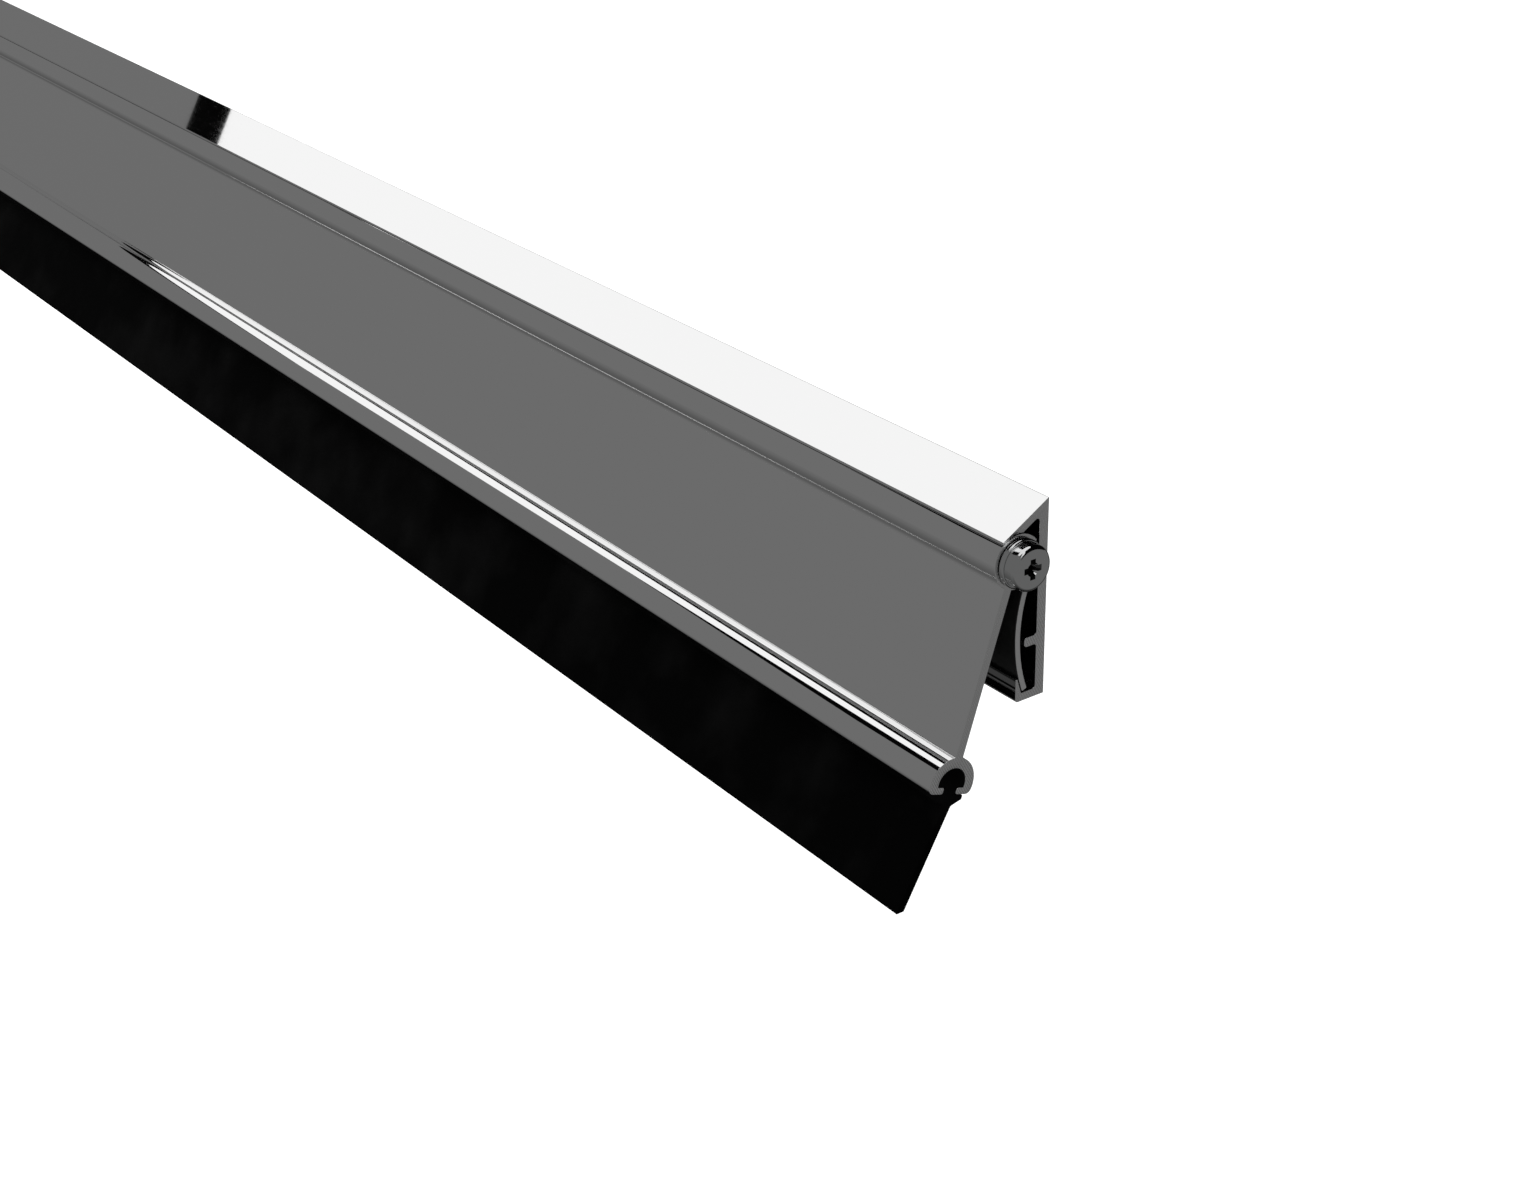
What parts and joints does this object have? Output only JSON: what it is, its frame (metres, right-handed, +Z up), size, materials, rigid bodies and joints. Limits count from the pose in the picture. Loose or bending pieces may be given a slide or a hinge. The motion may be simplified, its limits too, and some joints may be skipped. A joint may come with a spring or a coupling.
{
  "type": "automatic door bottom seal",
  "caption": "Surface-mounted door bottom seal: a carrier rail with a drip lip, a hinged flap held up by a leaf spring, and a rubber wiper blade.",
  "frame": {"origin": "middle of the back face's lower edge, where it meets the door's bottom edge", "axes": "+X along the seal to the right as seen from the front, +Y into the door, +Z up"},
  "size_m": [0.8398, 0.0215, 0.0465],
  "materials": {
    "bright_aluminium": "extruded aluminium, polished and bright anodised",
    "spring_strip": "extruded dark grey acetal",
    "black_rubber": "matt black extruded rubber",
    "screw_steel": "bright zinc plated steel"
  },
  "bodies": {
    "carrier": {"carrier_profile": "bright_aluminium", "leaf_spring": "spring_strip", "hinge_screw_right": "screw_steel", "hinge_screw_left": "screw_steel", "washer_right": "screw_steel", "washer_left": "screw_steel"},
    "flap": {"flap_profile": "bright_aluminium", "wiper_blade": "black_rubber"}
  },
  "joints": [
    {"name": "flap_hinge", "type": "hinge", "parent": "carrier", "child": "flap", "pos_m": [0, -0.00425, 0.0178], "axis": [1, 0, 0], "range_deg": [0, 15], "stiffness_Nm_per_rad": 1, "springref_deg": -14.32, "deforming": ["leaf_spring"]}
  ]
}
